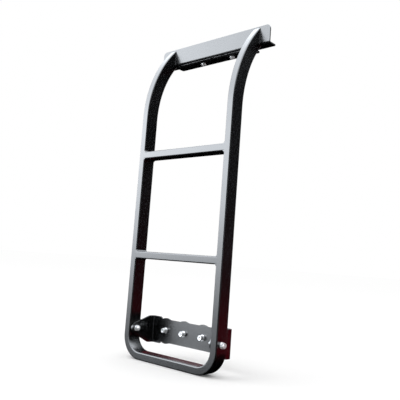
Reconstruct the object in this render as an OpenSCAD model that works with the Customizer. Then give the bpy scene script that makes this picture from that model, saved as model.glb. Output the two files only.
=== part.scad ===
// Tailgate ladder: two swept-back side rails, a round-cornered foot tube and two rungs, hooked over
// the door's top edge by a clamp bracket and bolted to the door low down by a tilting bracket.
// Millimetres. +X is the ladder's right, +Y points into the vehicle and +Z is up.
// Origin: middle of the line where the top bracket's back face meets the underside of its flange.

/* [Ladder] */
// Width over both rails
ladder_w = 330; // [300:5:360]
// Height from the foot's underside to the flange's underside
hang_h = 849; // [840:1:860]
// Distance between the centres of the two rungs
rung_pitch = 280; // [250:5:300]
// Height of the lower rung's centre above the foot's underside
rung_low_h = 278; // [240:2:300]
// Height above the foot's underside where the rails start to sweep back
straight_h = 666; // [650:1:680]
// Radius of the rails' front face in the sweep
sweep_r = 336; // [330:1:345]

/* [Tube] */
// Width of the tube as seen from the front
tube_w = 20; // [18:1:24]
// Depth of the tube from front to back
tube_d = 40; // [36:1:44]
// Wall thickness of the tube
tube_wall = 2; // [1.5:0.5:3]
// Outer radius of the tube's long corners
tube_r = 2.5; // [2:0.5:4]
// Outer radius of the bend between a rail and the foot
foot_r = 62; // [50:1:70]

/* [Top bracket] */
// Width of the top bracket
top_w = 394; // [370:2:410]
// Height of its upright plate
top_h = 51; // [45:1:60]
// Depth of its flange, measured from the front of the plate
flange_d = 29; // [28:1:36]
// Sheet thickness of both brackets
sheet_t = 4; // [3:0.5:5]
// Distance from the front of the straight rails to the front of the top plate
reach = 92; // [88:1:96]
// Distance between the two clamp bolts
clamp_pitch = 104; // [80:2:140]
// Sideways offset of the clamp bolts' middle
clamp_shift = 6; // [-10:1:10]

/* [Lower bracket] */
// Height of the pivot bolts above the foot's underside
pivot_h = 78; // [70:1:90]
// Distance from the front of the rails to the front of the lower plate
plate_back = 84; // [78:1:92]
// Height of the lower bracket at its ears
ear_h = 73.5; // [70:0.5:80]
// Height of the lower plate between its ears
plate_h = 63; // [56:1:66]
// Distance between neighbouring door bolts
door_pitch = 68; // [60:1:70]
// Sideways offset of the middle door bolt
door_shift = -21; // [-24:1:-10]

/* [Hidden] */
$fn = 64;
slack = 0.25;              // clearance between a pivot bolt and what turns on it
face_gap = 0.05;           // gap between flat faces that turn on each other
poke = 1;                  // how far a cutting shape reaches past the face it cuts
ample = 400;               // larger than anything that a cutting shape has to cover

// levels and depths of the frame
foot_z = -hang_h;
front_y = -sheet_t - reach;
mid_y = front_y + tube_d / 2;
rail_x = ladder_w / 2 - tube_w / 2;
inner_x = ladder_w / 2 - tube_w;
sweep_z = foot_z + straight_h;
sweep_y = front_y + sweep_r;
sweep_angle = 50;

// top bracket
bend_r = 6;                // outer radius of both brackets' bends
top_corner_r = 12;
jaw_end_gap = 2;           // between each end of the jaw and the rail beside it
jaw_w = 2 * (inner_x - jaw_end_gap);
jaw_t = 4;
jaw_front_y = -2;
jaw_back_y = 31;
jaw_corner_r = 4;
grip_pad_t = 1;            // rubber under the flange, and again on top of the jaw
grip_pad_inset = 3;
jaw_top_z = -2 * grip_pad_t;
clamp_y = 15.5;
clamp_bolts_x = [clamp_shift - clamp_pitch / 2, clamp_shift + clamp_pitch / 2];

// lower bracket
pivot_z = foot_z + pivot_h;
ear_mid_z = foot_z + 73.75;
plate_y = front_y + plate_back;
spacer_t = 2.5;            // washer that holds each ear off the rail and clear of the foot's bend
ear_out_x = inner_x - spacer_t - face_gap;
ear_in_x = ear_out_x - sheet_t;
nose_r = 16;
ear_corner_r = 16;
ear_wide_y = mid_y + 50;   // where the ears reach their full height
flank_w = 30;
flank_r = 5;
lobe_r = 35;
door_z = foot_z + 75;
door_bolts_x = [door_shift - door_pitch, door_shift, door_shift + door_pitch];
low_pad_t = 3;
low_pad_inset = 5;
low_pad_r = 6;

// metric 8 hardware
bolt_r = 4;
hole_r = 4.5;
pad_hole_r = 5.5;
pivot_hole_r = bolt_r + slack;
thread_r = 3.6;            // pitch radius of the thread, past the plain shank
cap_r = 6.5;
cap_h = 8;
cap_socket_af = 6;
cap_socket_h = 4.5;
button_r = 7;
button_h = 4.4;
button_rim = 0.2;
button_socket_af = 5;
button_socket_h = 2.6;
washer_r = 8;
washer_t = 1.6;
spring_r = 6.6;
spring_t = 2.4;
spring_slot = 1.6;
spring_slant = 12;
nut_af = 13;
nut_h = 8;
nut_collar_r = 5.6;
nut_collar_h = 1.4;
nut_bevel = 1;
nut_bore_r = thread_r + 0.15;
clamp_bolt_l = 25;
door_bolt_l = 35;
pivot_bolt_l = 40;
sleeve_r = 7;
spacer_r = 9;
chamfer = 0.6;

paint = [0.07, 0.075, 0.08];
steel = [0.78, 0.79, 0.8];
rubber = [0.04, 0.04, 0.04];
nylon = [0.12, 0.12, 0.12];

// ---- 2D outlines ----

// Rectangle with rounded corners, centred on the origin
module rounded_rect(w, h, r) {
    square([w - 2 * r, h], center = true);
    square([w, h - 2 * r], center = true);
    for (x = [-1, 1], y = [-1, 1])
        translate([x * (w / 2 - r), y * (h / 2 - r)])
            circle(r);
}

// Cross-section of the tube, with its depth along the second axis
module tube_section() {
    difference() {
        rounded_rect(tube_w, tube_d, tube_r);
        square([tube_w - 2 * tube_wall, tube_d - 2 * tube_wall], center = true);
    }
}

// ---- placing ----

// Stands an outline drawn in X and Z upright and gives it a thickness towards +Y from y = 0
module upright(thickness) {
    translate([0, thickness, 0])
        rotate([90, 0, 0])
            linear_extrude(thickness)
                children();
}

// Turns an outline drawn in Y and Z into a solid along X from x = 0
module along_x(length) {
    rotate([90, 0, 90])
        linear_extrude(length)
            children();
}

module both_sides() {
    children();
    mirror([1, 0, 0])
        children();
}

// Places a fastener drawn along +Z so that it points to -Y at each door bolt
module at_door_bolts() {
    for (x = door_bolts_x)
        translate([x, plate_y, door_z])
            rotate([90, 0, 0])
                children();
}

// Places a fastener drawn along +Z so that it points down at each clamp bolt, under the jaw
module at_clamp_bolts() {
    for (x = clamp_bolts_x)
        translate([x, clamp_y, jaw_top_z - jaw_t])
            rotate([180, 0, 0])
                children();
}

// Places a fastener drawn along +Z so that it points outwards from each rail's outer face
module at_pivots_outside() {
    both_sides()
        translate([ladder_w / 2, mid_y, pivot_z])
            rotate([0, 90, 0])
                children();
}

// Places a fastener drawn along +Z so that it points inwards from each ear's inner face
module at_pivots_inside() {
    both_sides()
        translate([ear_in_x, mid_y, pivot_z])
            rotate([0, -90, 0])
                children();
}

// ---- hardware, drawn along +Z from its seat at z = 0 ----

module flat_washer() {
    difference() {
        cylinder(r = washer_r, h = washer_t);
        translate([0, 0, -poke])
            cylinder(r = hole_r, h = washer_t + 2 * poke);
    }
}

module spring_washer() {
    difference() {
        cylinder(r = spring_r, h = spring_t);
        translate([0, 0, -poke])
            cylinder(r = hole_r, h = spring_t + 2 * poke);
        rotate([spring_slant, 0, 0])
            translate([0, -spring_slot / 2, -poke])
                cube([spring_r + poke, spring_slot, spring_t + 2 * poke]);
    }
}

// Rounded blank of a screw head
module head_blank(r, h, edge) {
    rotate_extrude()
        polygon([[0, 0], [r, 0], [r, h - edge], [r - edge, h], [0, h]]);
}

// Hexagon socket cut into the top of a head
module hex_socket(af, top, depth) {
    translate([0, 0, top - depth])
        cylinder(d = af / cos(30), h = depth + poke, $fn = 6);
}

// Shank below z = 0: plain over the grip, then the thread's envelope, then a chamfered tip
module screw_shank(length, grip) {
    translate([0, 0, -grip])
        cylinder(r = bolt_r, h = grip);
    translate([0, 0, chamfer - length])
        cylinder(r = thread_r, h = length - chamfer - grip);
    translate([0, 0, -length])
        cylinder(r1 = thread_r - chamfer, r2 = thread_r, h = chamfer);
}

// Socket cap screw with its head above z = 0
module cap_screw(length, grip) {
    difference() {
        head_blank(cap_r, cap_h, chamfer);
        hex_socket(cap_socket_af, cap_h, cap_socket_h);
    }
    screw_shank(length, grip);
}

// Button head screw: its head is the top of a ball, cut off square at the rim
module button_screw(length, grip) {
    dome_r = (button_r * button_r + button_h * button_h) / (2 * button_h);
    difference() {
        rotate_extrude()
            intersection() {
                translate([0, button_h - dome_r])
                    circle(dome_r);
                square([button_r - button_rim, button_h]);
            }
        hex_socket(button_socket_af, button_h, button_socket_h);
    }
    screw_shank(length, grip);
}

// Self-locking nut: a hexagon under a round collar, bored to clear the thread
module lock_nut() {
    difference() {
        union() {
            intersection() {
                cylinder(d = nut_af / cos(30), h = nut_h - nut_collar_h, $fn = 6);
                head_blank(nut_af / 2 / cos(30), nut_h - nut_collar_h, nut_bevel);
            }
            cylinder(r = nut_collar_r, h = nut_h);
        }
        translate([0, 0, -poke])
            cylinder(r = nut_bore_r, h = nut_h + 2 * poke);
    }
}

// ---- ladder frame ----

// Solid envelope of the top bracket that the rail ends are cut back to
module bracket_envelope() {
    translate([-ample / 2, -sheet_t, bend_r])
        cube(ample);
    translate([-ample / 2, bend_r - sheet_t, 0])
        cube(ample);
    translate([-ample / 2, bend_r - sheet_t, bend_r])
        rotate([0, 90, 0])
            cylinder(r = bend_r, h = ample);
}

// One rail: a straight length, then the sweep back to the top bracket
module rail() {
    difference() {
        union() {
            translate([rail_x, mid_y, foot_z + foot_r])
                linear_extrude(straight_h - foot_r)
                    tube_section();
            translate([rail_x, sweep_y, sweep_z])
                rotate([90, 0, -90])
                    rotate_extrude(angle = sweep_angle, $fn = 180)
                        translate([sweep_r - tube_d / 2, 0])
                            rotate(90)
                                tube_section();
        }
        bracket_envelope();
        // hole for the pivot bolt through both walls
        translate([inner_x - poke, mid_y, pivot_z])
            rotate([0, 90, 0])
                cylinder(r = hole_r, h = tube_w + 2 * poke);
    }
}

module rail_right() {
    color(paint)
        rail();
}

module rail_left() {
    color(paint)
        mirror([1, 0, 0])
            rail();
}

// Foot: a straight tube with a quarter bend at each end, all of one section
module foot_tube() {
    bend_x = ladder_w / 2 - foot_r;
    color(paint) {
        translate([-bend_x, mid_y, foot_z + tube_w / 2])
            rotate([0, 90, 0])
                linear_extrude(2 * bend_x)
                    tube_section();
        both_sides()
            translate([bend_x, mid_y, foot_z + foot_r])
                rotate([-90, 0, 0])
                    rotate_extrude(angle = 90, $fn = 96)
                        translate([foot_r - tube_w / 2, 0])
                            tube_section();
    }
}

// One rung, centred on a height above the foot's underside
module rung(height) {
    color(paint)
        translate([-inner_x, mid_y, foot_z + height])
            rotate([0, 90, 0])
                linear_extrude(2 * inner_x)
                    tube_section();
}

module rung_upper() {
    rung(rung_low_h + rung_pitch);
}

module rung_lower() {
    rung(rung_low_h);
}

// ---- top bracket and its clamp ----

// Side view of the folded sheet, drawn in Y and Z
module top_profile() {
    translate([-sheet_t, bend_r])
        square([sheet_t, top_h - bend_r]);
    translate([bend_r - sheet_t, 0])
        square([flange_d - bend_r, sheet_t]);
    translate([bend_r - sheet_t, bend_r])
        intersection() {
            difference() {
                circle(bend_r);
                circle(bend_r - sheet_t);
            }
            translate([-bend_r, -bend_r])
                square(bend_r);
        }
}

// Front view of the bracket, with its two upper corners rounded
module top_outline() {
    translate([-top_w / 2, 0])
        square([top_w, top_h - top_corner_r]);
    translate([top_corner_r - top_w / 2, 0])
        square([top_w - 2 * top_corner_r, top_h]);
    for (side = [-1, 1])
        translate([side * (top_w / 2 - top_corner_r), top_h - top_corner_r])
            circle(top_corner_r);
}

module top_bracket() {
    color(paint)
        difference() {
            intersection() {
                translate([-top_w / 2, 0, 0])
                    along_x(top_w)
                        top_profile();
                translate([0, -2 * sheet_t, 0])
                    upright(2 * sheet_t + flange_d)
                        top_outline();
            }
            for (x = clamp_bolts_x)
                translate([x, clamp_y, -poke])
                    cylinder(r = hole_r, h = sheet_t + 2 * poke);
        }
}

// Rubber strip between the rails, from just behind the fold to the flange's edge
module grip_pad(depth) {
    pad_front_y = bend_r - sheet_t;
    difference() {
        translate([0, pad_front_y + depth / 2, 0])
            linear_extrude(grip_pad_t)
                rounded_rect(jaw_w - 2 * grip_pad_inset, depth, grip_pad_inset);
        for (x = clamp_bolts_x)
            translate([x, clamp_y, -poke])
                cylinder(r = pad_hole_r, h = grip_pad_t + 2 * poke);
    }
}

module flange_pad() {
    color(rubber)
        translate([0, 0, -grip_pad_t])
            grip_pad(flange_d - bend_r);
}

module clamp_nuts() {
    color(steel)
        for (x = clamp_bolts_x)
            translate([x, clamp_y, sheet_t + washer_t])
                lock_nut();
}

module clamp_nut_washers() {
    color(steel)
        for (x = clamp_bolts_x)
            translate([x, clamp_y, sheet_t])
                flat_washer();
}

module clamp_jaw() {
    jaw_d = jaw_back_y - jaw_front_y;
    color(paint)
        difference() {
            translate([0, jaw_front_y + jaw_d / 2, jaw_top_z - jaw_t])
                linear_extrude(jaw_t)
                    rounded_rect(jaw_w, jaw_d, jaw_corner_r);
            for (x = clamp_bolts_x)
                translate([x, clamp_y, jaw_top_z - jaw_t - poke])
                    cylinder(r = hole_r, h = jaw_t + 2 * poke);
        }
}

module clamp_jaw_pad() {
    color(rubber)
        translate([0, 0, jaw_top_z])
            grip_pad(jaw_back_y - grip_pad_inset - bend_r + sheet_t);
}

module clamp_bolts() {
    color(steel)
        at_clamp_bolts()
            translate([0, 0, washer_t])
                button_screw(clamp_bolt_l, washer_t + jaw_t);
}

module clamp_bolt_washers() {
    color(steel)
        at_clamp_bolts()
            flat_washer();
}

// ---- lower bracket ----

// Side view of an ear, drawn in Y and Z: a round nose about the pivot that widens to full height
module ear_outline() {
    hull() {
        translate([mid_y, pivot_z])
            circle(nose_r);
        for (side = [-1, 1])
            translate([ear_wide_y, ear_mid_z + side * (ear_h / 2 - ear_corner_r)])
                circle(ear_corner_r);
        translate([plate_y + sheet_t - bend_r - poke, ear_mid_z - ear_h / 2])
            square([poke, ear_h]);
    }
}

// Front view of the lower plate: full-height flanks, a lower middle and a lobe over each bolt
module plate_outline() {
    flank_x = ear_out_x - flank_w / 2;
    translate([-flank_x, ear_mid_z - plate_h / 2])
        square([2 * flank_x, plate_h]);
    for (side = [-1, 1])
        translate([side * flank_x, ear_mid_z])
            rounded_rect(flank_w + 2 * flank_r, ear_h, flank_r);
    translate([door_bolts_x[0], ear_mid_z])
        circle(lobe_r);
    intersection() {
        for (x = door_bolts_x)
            translate([x, ear_mid_z])
                circle(lobe_r);
        translate([-ample / 2, ear_mid_z])
            square([ample, lobe_r]);
    }
}

// Top view of the folded sheet, drawn in X and Y: a plate with a bend at each end
module fold_outline() {
    back = plate_y + sheet_t;
    translate([bend_r - ear_out_x, plate_y])
        square([2 * (ear_out_x - bend_r), sheet_t]);
    for (side = [0, 1])
        mirror([side, 0])
            translate([ear_out_x - bend_r, back - bend_r])
                intersection() {
                    difference() {
                        circle(bend_r);
                        circle(bend_r - sheet_t);
                    }
                    square(bend_r);
                }
}

module lower_bracket() {
    color(paint)
        difference() {
            union() {
                intersection() {
                    translate([0, 0, foot_z])
                        linear_extrude(2 * ear_h)
                            fold_outline();
                    translate([0, front_y, 0])
                        upright(reach)
                            intersection() {
                                plate_outline();
                                translate([-ear_out_x, foot_z])
                                    square([2 * ear_out_x, 2 * ear_h]);
                            }
                }
                for (x = [-ear_out_x, ear_in_x])
                    translate([x, 0, 0])
                        along_x(sheet_t)
                            ear_outline();
            }
            for (x = door_bolts_x)
                translate([x, plate_y - poke, door_z])
                    rotate([-90, 0, 0])
                        cylinder(r = hole_r, h = sheet_t + 2 * poke);
            translate([-ample / 2, mid_y, pivot_z])
                rotate([0, 90, 0])
                    cylinder(r = pivot_hole_r, h = ample);
        }
}

module lower_bracket_pad() {
    pad_w = 2 * (ear_out_x - bend_r - low_pad_inset);
    color(rubber)
        difference() {
            translate([0, plate_y + sheet_t, ear_mid_z])
                upright(low_pad_t)
                    rounded_rect(pad_w, plate_h - 2 * low_pad_inset, low_pad_r);
            for (x = door_bolts_x)
                translate([x, plate_y + sheet_t - poke, door_z])
                    rotate([-90, 0, 0])
                        cylinder(r = pad_hole_r, h = low_pad_t + 2 * poke);
        }
}

module door_bolts() {
    color(steel)
        at_door_bolts()
            translate([0, 0, washer_t + spring_t])
                cap_screw(door_bolt_l, washer_t + spring_t + sheet_t + low_pad_t);
}

module door_bolt_spring_washers() {
    color(steel)
        at_door_bolts()
            translate([0, 0, washer_t])
                spring_washer();
}

module door_bolt_flat_washers() {
    color(steel)
        at_door_bolts()
            flat_washer();
}

// ---- pivots between the rails and the lower bracket ----

module pivot_bolts() {
    grip = washer_t + tube_w + spacer_t + face_gap + sheet_t;
    color(steel)
        at_pivots_outside()
            translate([0, 0, washer_t])
                cap_screw(pivot_bolt_l, grip);
}

module pivot_head_washers() {
    color(steel)
        at_pivots_outside()
            flat_washer();
}

// Tubes inside the rails that keep the bolts from crushing them
module pivot_sleeves() {
    sleeve_l = tube_w - 2 * tube_wall;
    color(steel)
        both_sides()
            translate([inner_x + tube_wall, mid_y, pivot_z])
                rotate([0, 90, 0])
                    difference() {
                        cylinder(r = sleeve_r, h = sleeve_l);
                        translate([0, 0, -poke])
                            cylinder(r = hole_r, h = sleeve_l + 2 * poke);
                    }
}

// Thick washers between the rails and the ears
module pivot_spacers() {
    color(nylon)
        both_sides()
            translate([inner_x - spacer_t, mid_y, pivot_z])
                rotate([0, 90, 0])
                    difference() {
                        cylinder(r = spacer_r, h = spacer_t);
                        translate([0, 0, -poke])
                            cylinder(r = hole_r, h = spacer_t + 2 * poke);
                    }
}

module pivot_nut_washers() {
    color(steel)
        at_pivots_inside()
            translate([0, 0, face_gap])
                flat_washer();
}

module pivot_nuts() {
    color(steel)
        at_pivots_inside()
            translate([0, 0, washer_t + face_gap])
                lock_nut();
}

rail_left();
rail_right();
foot_tube();
rung_upper();
rung_lower();
top_bracket();
flange_pad();
clamp_nuts();
clamp_nut_washers();
clamp_jaw();
clamp_jaw_pad();
clamp_bolts();
clamp_bolt_washers();
lower_bracket();
lower_bracket_pad();
door_bolts();
door_bolt_spring_washers();
door_bolt_flat_washers();
pivot_bolts();
pivot_head_washers();
pivot_sleeves();
pivot_spacers();
pivot_nut_washers();
pivot_nuts();
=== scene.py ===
"""Looks of the tailgate ladder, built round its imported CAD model.

Metres throughout. +X is the ladder's right, +Y points into the vehicle and +Z is up.
"""
import math

import bmesh
import bpy
import numpy as np
from mathutils import Matrix, Vector


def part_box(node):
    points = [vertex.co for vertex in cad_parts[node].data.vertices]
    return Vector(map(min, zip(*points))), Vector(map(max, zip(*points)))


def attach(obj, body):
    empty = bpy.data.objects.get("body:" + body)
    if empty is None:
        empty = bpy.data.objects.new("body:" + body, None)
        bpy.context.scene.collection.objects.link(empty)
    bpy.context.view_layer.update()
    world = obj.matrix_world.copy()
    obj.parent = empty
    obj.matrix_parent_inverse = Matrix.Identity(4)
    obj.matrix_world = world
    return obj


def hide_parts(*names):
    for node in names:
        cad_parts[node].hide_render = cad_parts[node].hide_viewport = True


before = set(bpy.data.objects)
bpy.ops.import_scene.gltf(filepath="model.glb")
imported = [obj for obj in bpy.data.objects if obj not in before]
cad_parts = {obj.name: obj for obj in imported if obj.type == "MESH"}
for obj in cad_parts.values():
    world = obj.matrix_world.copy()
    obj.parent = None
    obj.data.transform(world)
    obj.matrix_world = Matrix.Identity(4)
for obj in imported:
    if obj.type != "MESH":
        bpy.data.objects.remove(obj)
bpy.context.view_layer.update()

MM = 0.001


# ---------------------------------------------------------------- places, from the frame

foot_lo, foot_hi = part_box("foot_tube")
rung_lo, rung_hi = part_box("rung_upper")
low_rung_lo, low_rung_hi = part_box("rung_lower")
top_lo, top_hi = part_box("top_bracket")
jaw_lo, jaw_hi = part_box("clamp_jaw")
plate_lo, plate_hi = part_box("lower_bracket")
door_lo, door_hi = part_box("door_bolts")
clamp_lo, clamp_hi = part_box("clamp_bolts")
pivot_lo, pivot_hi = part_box("pivot_bolts")
clamp_nut_lo, clamp_nut_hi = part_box("clamp_nuts")

HALF_W = foot_hi.x
INNER_X = rung_hi.x
FRONT_Y, BACK_Y = foot_lo.y, foot_hi.y
MID_Y = (FRONT_Y + BACK_Y) / 2
TUBE_W = HALF_W - INNER_X
TUBE_D = BACK_Y - FRONT_Y
RAIL_X = INNER_X + TUBE_W / 2
FOOT_Z = foot_lo.z
FOOT_R = foot_hi.z - foot_lo.z
BEND_X = HALF_W - FOOT_R
SHEET_T = -top_lo.y

# radii and levels that a box doesn't give, the same as the CAD model's
SWEEP_Z = -183 * MM
SWEEP_R = 336 * MM
SWEEP_Y = FRONT_Y + SWEEP_R
FOLD_R = 6 * MM
TOP_CORNER_R = 12 * MM
HOLE_R = 4.5 * MM
PAD_HOLE_R = 5.5 * MM
PIVOT_HOLE_R = 4.25 * MM
JAW_CORNER_R, STRIP_CORNER_R, PAD_CORNER_R = 4 * MM, 3 * MM, 6 * MM

# the lower bracket drawn flat: its waist's half height, its lobes, its flanks' inset, and its ears
WAIST_H, LOBE_R = 31.5 * MM, 35 * MM
FLANK_INSET, FLANK_R = 35 * MM, 5 * MM
NOSE_R, NOSE_TO_CORNER = 16 * MM, 50 * MM

# only in the looks: tube corners wider than the solids' 2.5 mm, round corners on the top bracket's flange,
# rounded edges and a bevelled jaw
TUBE_R, FLANGE_CORNER_R = 3.2 * MM, 2 * MM
SHEET_EDGE, JAW_EDGE, STRIP_EDGE, PAD_EDGE = 0.35 * MM, 0.4 * MM, 0.25 * MM, 0.5 * MM
JAW_BEVEL_D, JAW_BEVEL_H = 5 * MM, 3.6 * MM

# weld fillets: length and swell of one pool, how hollow the face is, and its size at the ends
POOL, RIPPLE, HOLLOW, END_SIZE = 1.9 * MM, 0.055, 0.55, 0.65
RUNG_WELD, RUNG_WELD_INSET = 3.6 * MM, 0.15 * MM
TOP_WELD, TOP_WELD_ROOT = 2.0 * MM, 1.5 * MM

# metric 8 hardware, with the thread's crest and root; a screw's shells overlap by BURIED
BOLT_R = 4 * MM
THREAD_R, THREAD_ROOT_R = 3.94 * MM, 3.25 * MM
BURIED = 0.3 * MM
THREAD_PITCH = 1.25 * MM
CAP_R, CAP_H = 6.5 * MM, 8 * MM
BUTTON_R, BUTTON_H = 7 * MM, 4.4 * MM
WASHER_R, WASHER_T = 8 * MM, 1.6 * MM
SPRING_R, SPRING_T = 6.6 * MM, 2.4 * MM
NUT_AF, NUT_H, NUT_HEX_H = 13 * MM, 8 * MM, 6.6 * MM
COLLAR_R, NUT_BORE_R = 5.6 * MM, 4.05 * MM
CAP_KEY, BUTTON_KEY = 6 * MM, 5 * MM

DOOR_X = np.linspace(door_lo.x + CAP_R, door_hi.x - CAP_R, 3)
DOOR_Z = (door_lo.z + door_hi.z) / 2
CLAMP_X = [clamp_nut_lo.x + NUT_AF / 2, clamp_nut_hi.x - NUT_AF / 2]
CLAMP_Y = (clamp_lo.y + clamp_hi.y) / 2
PIVOT_Z = (pivot_lo.z + pivot_hi.z) / 2
PLATE_Y = plate_hi.y - SHEET_T
EAR_OUT_X = plate_hi.x
EAR_MID_Z = (plate_lo.z + plate_hi.z) / 2


# ---------------------------------------------------------------- materials

class Nodes:
    """The node tree of a material or of the world, emptied, with tools that fill it."""

    def __init__(self, owner):
        owner.use_nodes = True
        self.tree = owner.node_tree
        self.tree.nodes.clear()

    def add(self, kind, **inputs):
        """A new node. The keywords are names of its inputs, with _ for a space."""
        node = self.tree.nodes.new(kind)
        for key, value in inputs.items():
            node.inputs[key.replace("_", " ")].default_value = value
        return node

    def link(self, output, socket):
        self.tree.links.new(output, socket)

    def noise(self, place, **inputs):
        """A noise laid over the object's own space."""
        node = self.add("ShaderNodeTexNoise", **inputs)
        self.link(place.outputs["Object"], node.inputs["Vector"])
        return node.outputs["Fac"]

    def map_range(self, value, band, levels):
        """A node that takes value from one level to the other as it crosses a band."""
        node = self.add("ShaderNodeMapRange", From_Min=band[0], From_Max=band[1],
                        To_Min=levels[0], To_Max=levels[1])
        self.link(value, node.inputs["Value"])
        return node

    def ramp(self, value, band, levels):
        """map_range with soft ends."""
        node = self.map_range(value, band, levels)
        node.interpolation_type = "SMOOTHSTEP"
        return node.outputs["Result"]

    def maths(self, operation, *values):
        """Values are sockets or floats."""
        node = self.add("ShaderNodeMath")
        node.operation = operation
        for socket, value in zip(node.inputs, values):
            if isinstance(value, float):
                socket.default_value = value
            else:
                self.link(value, socket)
        return node.outputs[0]


# the parts of a noise's range that a tone or a roughness spreads over
WHOLE, MIDDLE = (0.0, 1.0), (0.3, 0.7)


def surface_material(name, colour, fixed, noises, tone, rough, bump):
    """A material whose tone, roughness and bump each follow one of its noises.

    fixed are the shader's inputs that are the same all over, and noises the inputs of each noise.
    tone and rough are (noise, band, levels), where the tone's levels are shares of the colour.
    bump is (noise, strength, distance).
    """
    material = bpy.data.materials.new(name)
    nodes = Nodes(material)
    out = nodes.add("ShaderNodeOutputMaterial")
    shader = nodes.add("ShaderNodeBsdfPrincipled", **fixed)
    place = nodes.add("ShaderNodeTexCoord")
    made = {key: nodes.noise(place, **inputs) for key, inputs in noises.items()}

    source, band, levels = tone
    shades = nodes.add("ShaderNodeValToRGB")
    for element, position, level in zip(shades.color_ramp.elements, band, levels):
        element.position = position
        element.color = [c * level for c in colour] + [1]
    nodes.link(made[source], shades.inputs["Fac"])
    nodes.link(shades.outputs["Color"], shader.inputs["Base Color"])

    source, band, levels = rough
    nodes.link(nodes.map_range(made[source], band, levels).outputs["Result"], shader.inputs["Roughness"])

    source, strength, distance = bump
    relief = nodes.add("ShaderNodeBump", Strength=strength, Distance=distance)
    nodes.link(made[source], relief.inputs["Height"])
    nodes.link(relief.outputs["Normal"], shader.inputs["Normal"])
    nodes.link(shader.outputs["BSDF"], out.inputs["Surface"])
    return material


def paint_material(name, colour, roughness, peel, gloss):
    """Black powder coat: an orange-peel skin, a faint haze in its gloss and a fine speckle in its tone."""
    haze = 0.03
    return surface_material(
        name, colour, {"IOR": 1.6, "Specular_IOR_Level": gloss},
        {"haze": {"Scale": 9.0, "Detail": 4.0, "Roughness": 0.6},
         "speck": {"Scale": 2600.0, "Detail": 2.0},
         "skin": {"Scale": 620.0, "Detail": 3.0, "Roughness": 0.45}},
        tone=("speck", WHOLE, (0.8, 1.35)),
        rough=("haze", MIDDLE, (roughness - haze, roughness + haze)),
        bump=("skin", peel, 0.3 * MM))


def steel_material(name, colour, roughness, metallic):
    """Bright machined steel with fine turning marks and a little stain in its tone."""
    return surface_material(
        name, colour, {"Metallic": metallic},
        {"stain": {"Scale": 160.0, "Detail": 3.0},
         "marks": {"Scale": 5200.0, "Detail": 2.0}},
        tone=("stain", MIDDLE, (0.86, 1.0)),
        rough=("marks", MIDDLE, (roughness * 0.75, roughness * 1.3)),
        bump=("marks", 0.12, 0.04 * MM))


def soft_material(name, colour, roughness, grain, depth):
    """Rubber or nylon: matt, with a fine moulded grain and a little dust."""
    patchy = 0.1
    return surface_material(
        name, colour, {},
        {"pits": {"Scale": grain, "Detail": 3.0, "Roughness": 0.6},
         "dust": {"Scale": 70.0, "Detail": 4.0}},
        tone=("dust", WHOLE, (0.75, 1.5)),
        rough=("dust", WHOLE, (roughness - patchy, roughness + patchy)),
        bump=("pits", depth, 0.2 * MM))


PAINT = paint_material("frame_powder_coat", (0.0013, 0.0014, 0.0017), 0.24, 0.028, 0.62)
BRACKET_PAINT = paint_material("bracket_powder_coat", (0.0013, 0.0014, 0.0016), 0.3, 0.032, 0.62)
LOWER_PAINT = paint_material("lower_bracket_powder_coat", (0.0013, 0.0014, 0.0016), 0.24, 0.032, 0.88)
STEEL = steel_material("bright_fastener_steel", (0.92, 0.93, 0.94), 0.27, 0.72)
SLEEVE_STEEL = steel_material("turned_sleeve_steel", (0.45, 0.45, 0.46), 0.38, 1.0)
RUBBER = soft_material("rubber_sheet", (0.018, 0.018, 0.018), 0.72, 1500.0, 0.35)
NYLON = soft_material("black_nylon", (0.022, 0.022, 0.023), 0.45, 900.0, 0.12)
INSERT = soft_material("white_nylon", (0.66, 0.68, 0.67), 0.4, 900.0, 0.1)


# ---------------------------------------------------------------- mesh tools

# points closer than MERGE become one, and shorter edges than HAIR are dropped, in metres
MERGE, HAIR = 2e-6, 1e-7


def mesh_of(name, shells, sharp_deg):
    """A smooth-shaded mesh from closed shells, each (points, faces), without doubled or loose points."""
    bm = bmesh.new()
    for points, faces in shells:
        verts = [bm.verts.new(tuple(p)) for p in points]
        for face in faces:
            corners = [verts[i] for i in dict.fromkeys(face)]
            if len(corners) > 2:
                bm.faces.new(corners)
    bmesh.ops.remove_doubles(bm, verts=bm.verts, dist=MERGE)
    bmesh.ops.dissolve_degenerate(bm, edges=bm.edges, dist=HAIR)
    loose = [v for v in bm.verts if not v.link_faces]
    bmesh.ops.delete(bm, geom=loose, context="VERTS")
    bmesh.ops.recalc_face_normals(bm, faces=bm.faces)
    mesh = bpy.data.meshes.new(name)
    bm.to_mesh(mesh)
    bm.free()
    mesh.shade_smooth()
    mesh.set_sharp_from_angle(angle=math.radians(sharp_deg))
    return mesh


def piece(name, shells, material, body, stands_for=(), sharp_deg=38):
    """One object, its flats kept flat, that rides on a body and may stand for CAD nodes."""
    made = bpy.data.objects.new(name, mesh_of(name, shells, sharp_deg))
    bpy.context.scene.collection.objects.link(made)
    flats = made.modifiers.new("flats", "WEIGHTED_NORMAL")
    flats.keep_sharp = True
    made.data.materials.append(material)
    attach(made, body)
    if stands_for:
        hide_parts(*stands_for)
    return made


def grid_shell(rings, hubs=(None, None)):
    """A skin over rings of equally many points. A fan closes each end, round its hub or else its middle."""
    count, around = len(rings), len(rings[0])
    points = [p for ring in rings for p in ring]
    faces = []
    for r in range(count - 1):
        here, there = r * around, (r + 1) * around
        for i in range(around):
            j = (i + 1) % around
            faces.append((here + i, here + j, there + j, there + i))
    for first, hub in zip((0, (count - 1) * around), hubs):
        points.append(hub or np.mean(points[first:first + around], axis=0))
        last = len(points) - 1
        faces += [(first + i, first + (i + 1) % around, last) for i in range(around)]
    return points, faces


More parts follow.
